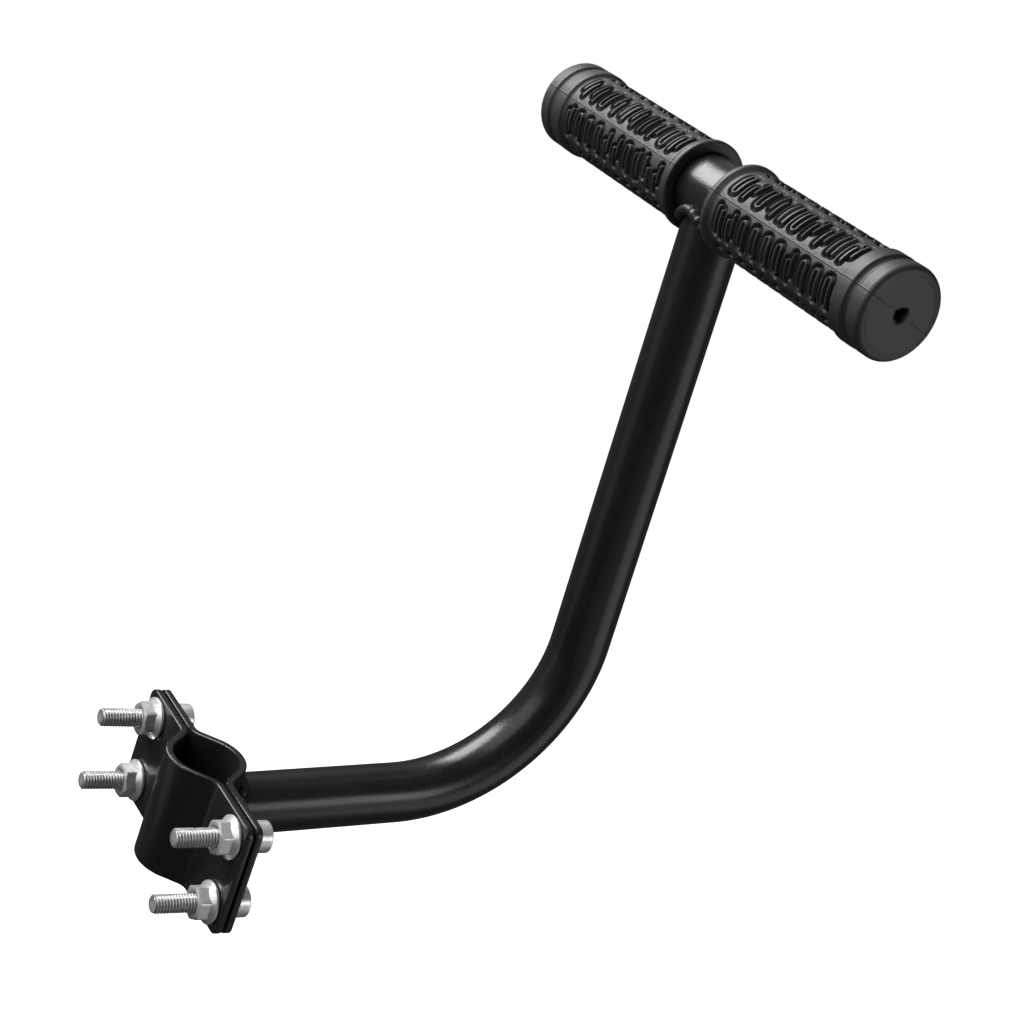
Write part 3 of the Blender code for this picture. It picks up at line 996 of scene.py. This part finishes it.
def screw_blank():
    """A socket head cap screw about Z: seat at 0, tip at -Z, hexagon socket in its head."""
    size = settings().fastener
    r, big, tall = size.radius, size.head_radius, size.head_height
    key = size.key / 2
    floor = tall - size.key_depth
    soft = 0.5 * MM
    profile = [(0.6 * MM, floor - 0.6 * MM), (key * 0.9, floor), (key, floor),
               (key, tall - 0.35 * MM), (key + 0.35 * MM, tall), (big - soft, tall)]
    hexagonal = {1, 2, 3, 4}
    profile += arc((big - soft, tall - soft), soft, 80, 0, 4)
    profile += line(profile[-1], (big, soft), 1.2 * MM)
    profile += [(big - 0.25 * MM, 0.05 * MM), (big - 0.5 * MM, 0.0),
                (r + 0.3 * MM, 0.0), (r, -0.25 * MM)]
    profile += line(profile[-1], (r, soft - size.screw_length), 0.125 * MM)
    profile += line(profile[-1], (r - soft * 1.2, -size.screw_length), 0.15 * MM)
    profile += [(0.8 * MM, -size.screw_length)]

    def at(index, radius, height, turn):
        return (hexagon_reach(radius, turn) if index in hexagonal else radius), height

    return skin("screw_blank", turned(profile, even_turns(48), at))


class GRAB_OT_screws(bpy.types.Operator):
    """Makes the four socket head cap screws with their threads"""

    bl_idname = "grab.screws"
    bl_label = "Cap screws"

    def execute(self, context):
        size = settings().fastener
        material = zinc_finish()
        mesh = thread_shape().bake(screw_blank(), {
            "Radius": size.radius, "Pitch": size.pitch, "Depth": size.thread_depth,
            "Run Out": 3 * MM, "Material": material})
        for number, (y, z) in enumerate(screw_places(), start=1):
            low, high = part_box(f"bolt_{number}")
            place = axes((high.x - size.head_height, y, z), (1, 0, 0), (0, 0, 1))
            copy = mesh.copy()
            copy.transform(place @ Matrix.Rotation(SCREW_TURN * number, 4, 'Z'))
            finish_piece(f"cap_screw_{number}", copy, material, SCREW_EDGE,
                         f"bolt_{number}", f"bolt_{number}")
        return {'FINISHED'}


def nut_mesh():
    """A flange nut about Z: seat at 0, hexagon towards +Z, chamfered at its top."""
    size = settings().fastener
    flat = size.nut_flats / 2
    tall = size.nut_height
    rim = size.flange_radius
    top_circle = flat * 0.94
    corner = flat / math.cos(math.pi / 6) * 0.978
    bore = size.radius + 0.1 * MM
    cone_low, cone_high = 1.15 * MM, 2.5 * MM
    offsets = (-30, -28.6, -26.6, -21, -14, -7, 0, 7, 14, 21, 26.6, 28.6)
    turns = [math.radians(60 * side + 30 + offset) for side in range(6) for offset in offsets]

    under, over = 0.35 * MM, 0.3 * MM
    profile = [("round", bore, 0.6 * MM), ("round", bore + 0.4 * MM, 0.02 * MM),
               ("round", rim - under, 0.0)]
    profile += [("round", *at) for at in arc((rim - under, 0.4 * MM), under, -60, 0, 3)]
    profile += [("round", *at) for at in arc((rim - over, cone_low - over), over, 0, 60, 3)]
    profile += [("cone", 0.6), ("cone", 0.12), ("side", 0.0), ("side", 0.5), ("side", 1.0)]
    profile += [("round", top_circle, tall), ("round", bore + 0.75 * MM, tall),
                ("round", bore, tall - 0.7 * MM)]
    rings = []
    for kind, *values in profile:
        ring = []
        for turn in turns:
            out = min(hexagon_reach(flat, turn), corner)
            base = cone_high - (out - flat) * (cone_high - cone_low) / (rim - flat)
            peak = tall - (out - top_circle) * math.tan(math.radians(30))
            if kind == "round":
                r, z = values
            elif kind == "cone":
                r = out + (rim - 0.2 * MM - out) * values[0]
                z = base + (cone_low - base) * values[0]
            else:
                r, z = out, base + (peak - base) * values[0]
            ring.append((r * math.cos(turn), r * math.sin(turn), z))
        rings.append(ring)
    return skin("flange_nut", rings, wrap=True)


class GRAB_OT_nuts(bpy.types.Operator):
    """Makes the four flange nuts"""

    bl_idname = "grab.nuts"
    bl_label = "Flange nuts"

    def execute(self, context):
        material = zinc_finish()
        mesh = nut_mesh()
        for number, (y, z) in enumerate(screw_places(), start=1):
            low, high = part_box(f"nut_{number}")
            turn = Matrix.Rotation(math.radians(NUT_TURNS[number - 1]), 4, 'Z')
            copy = mesh.copy()
            copy.transform(axes((high.x, y, z), (-1, 0, 0), (0, 0, 1)) @ turn)
            finish_piece(f"flange_nut_{number}", copy, material, NUT_EDGE,
                         f"nut_{number}", f"nut_{number}")
        return {'FINISHED'}


def camera_axes():
    """The camera's right, up and back directions."""
    size = settings().studio
    level = math.cos(size.pitch)
    forward = Vector((math.sin(size.heading) * level, math.cos(size.heading) * level,
                      math.sin(size.pitch)))
    flat_right = forward.cross(Vector((0, 0, 1))).normalized()
    flat_up = flat_right.cross(forward)
    right = flat_right * math.cos(size.roll) + flat_up * math.sin(size.roll)
    return right, right.cross(forward), -forward


# The middle of the handle, which the softboxes face.
LIT_POINT = Vector((0.055, 0, 0.105))
FLOOR_HALF = 30.0
FLOOR_GREY = 0.8
FLOOR_GLOW = 0.95
ROOM_GLOW = 0.06
# Name, direction from the object as (right, up, back), distance, width, height, radiance.
SOFTBOXES = (
    ("overhead", (-0.30, 0.92, 0.04), 0.85, 0.56, 0.66, 12.0),
    ("overhead_back", (0.12, 0.80, -0.60), 0.90, 0.40, 0.50, 0.2),
    ("front_key", (-0.5, 0.5, 0.7), 0.90, 0.90, 0.90, 1.4),
    ("right_front", (0.75, -0.35, 0.55), 0.90, 0.50, 0.50, 0.30),
    ("right_strip", (0.87, -0.28, 0.41), 0.80, 0.30, 0.28, 3.0),
    ("right_low", (0.77, -0.64, 0.0), 0.90, 0.60, 0.60, 0.8),
    ("left", (-1.0, 0.0, 0.1), 0.90, 0.40, 0.80, 0.26),
    ("below", (0.1, -0.95, 0.3), 0.90, 0.80, 0.80, 0.20),
)


def add_softbox(name, direction, distance, width, height, radiance):
    """An area light that faces the handle, out of the camera's sight."""
    right, up, back = camera_axes()
    aim = (right * direction[0] + up * direction[1] + back * direction[2]).normalized()
    light = bpy.data.lights.new(name, 'AREA')
    light.shape = 'RECTANGLE'
    light.size = width
    light.size_y = height
    light.energy = radiance * math.pi * width * height
    item = bpy.data.objects.new(name, light)
    item.matrix_world = axes(LIT_POINT + aim * distance, aim, back)
    item.visible_camera = False
    bpy.context.scene.collection.objects.link(item)


def add_floor(scene, height):
    """A plain pale floor that glows evenly and throws no light of its own on the handle."""
    half = FLOOR_HALF
    corners = [(-half, -half), (half, -half), (half, half), (-half, half)]
    mesh = bpy.data.meshes.new("pale_floor")
    mesh.from_pydata([(x, y, height) for x, y in corners], [], [(0, 1, 2, 3)])
    floor = bpy.data.objects.new("pale_floor", mesh)
    scene.collection.objects.link(floor)
    look = bpy.data.materials.new("pale_floor")
    look.use_nodes = True
    shader = look.node_tree.nodes["Principled BSDF"]
    shader.inputs["Base Color"].default_value = (FLOOR_GREY, FLOOR_GREY, FLOOR_GREY, 1)
    shader.inputs["Emission Color"].default_value = (1, 1, 1, 1)
    shader.inputs["Emission Strength"].default_value = FLOOR_GLOW
    mesh.materials.append(look)
    floor.visible_glossy = False
    floor.visible_diffuse = False


def add_room(scene):
    """A white backdrop that lights the handle only faintly."""
    world = bpy.data.worlds.new("studio")
    world.use_nodes = True
    net = Net(world.node_tree)
    white, dim = (net.add("ShaderNodeBackground", {}, {"Color": (1, 1, 1, 1), "Strength": glow})
                  for glow in (1.0, ROOM_GLOW))
    seen = net.add("ShaderNodeLightPath", out="Is Camera Ray")
    both = net.add("ShaderNodeMixShader", {}, {0: seen, 1: dim, 2: white})
    surface = world.node_tree.nodes["World Output"].inputs["Surface"]
    world.node_tree.links.new(both.socket, surface)
    scene.world = world


def add_camera(scene, size):
    camera = bpy.data.objects.new("camera", bpy.data.cameras.new("camera"))
    camera.data.lens = size.lens
    camera.data.sensor_width = 36
    camera.data.clip_start = 0.01
    place = Matrix(camera_axes()).transposed().to_4x4()
    place.translation = size.place
    camera.matrix_world = place
    scene.collection.objects.link(camera)
    scene.camera = camera


class GRAB_OT_stage(bpy.types.Operator):
    """Makes the pale floor, the softboxes and the camera"""

    bl_idname = "grab.stage"
    bl_label = "Stage"

    def execute(self, context):
        size = settings().studio
        scene = context.scene
        add_floor(scene, size.floor)
        add_room(scene)
        for box in SOFTBOXES:
            add_softbox(*box)
        add_camera(scene, size)
        scene.view_settings.view_transform = 'Standard'
        return {'FINISHED'}


OPERATORS = (GRAB_OT_arm, GRAB_OT_cross_bar, GRAB_OT_plates, GRAB_OT_welds, GRAB_OT_grips,
             GRAB_OT_screws, GRAB_OT_nuts, GRAB_OT_stage)


class GRAB_PT_handle(bpy.types.Panel):
    """Buttons that build the handle piece by piece."""

    bl_label = "Grab Handle"
    bl_idname = "GRAB_PT_handle"
    bl_space_type = 'VIEW_3D'
    bl_region_type = 'UI'
    bl_category = "Grab Handle"

    def draw(self, context):
        for operator in OPERATORS:
            self.layout.operator(operator.bl_idname)


CLASSES = (ArmSizes, PlateSizes, WeldSizes, FastenerSizes, GripSizes, Finishes, Studio, GrabHandle,
           *OPERATORS, GRAB_PT_handle)


def register():
    for item in CLASSES:
        bpy.utils.register_class(item)
    bpy.types.Scene.grab_handle = PointerProperty(type=GrabHandle)


def unregister():
    del bpy.types.Scene.grab_handle
    for item in reversed(CLASSES):
        bpy.utils.unregister_class(item)


def main():
    register()
    for operator in OPERATORS:
        group, action = operator.bl_idname.split(".")
        getattr(getattr(bpy.ops, group), action)()


if __name__ == "__main__":
    main()
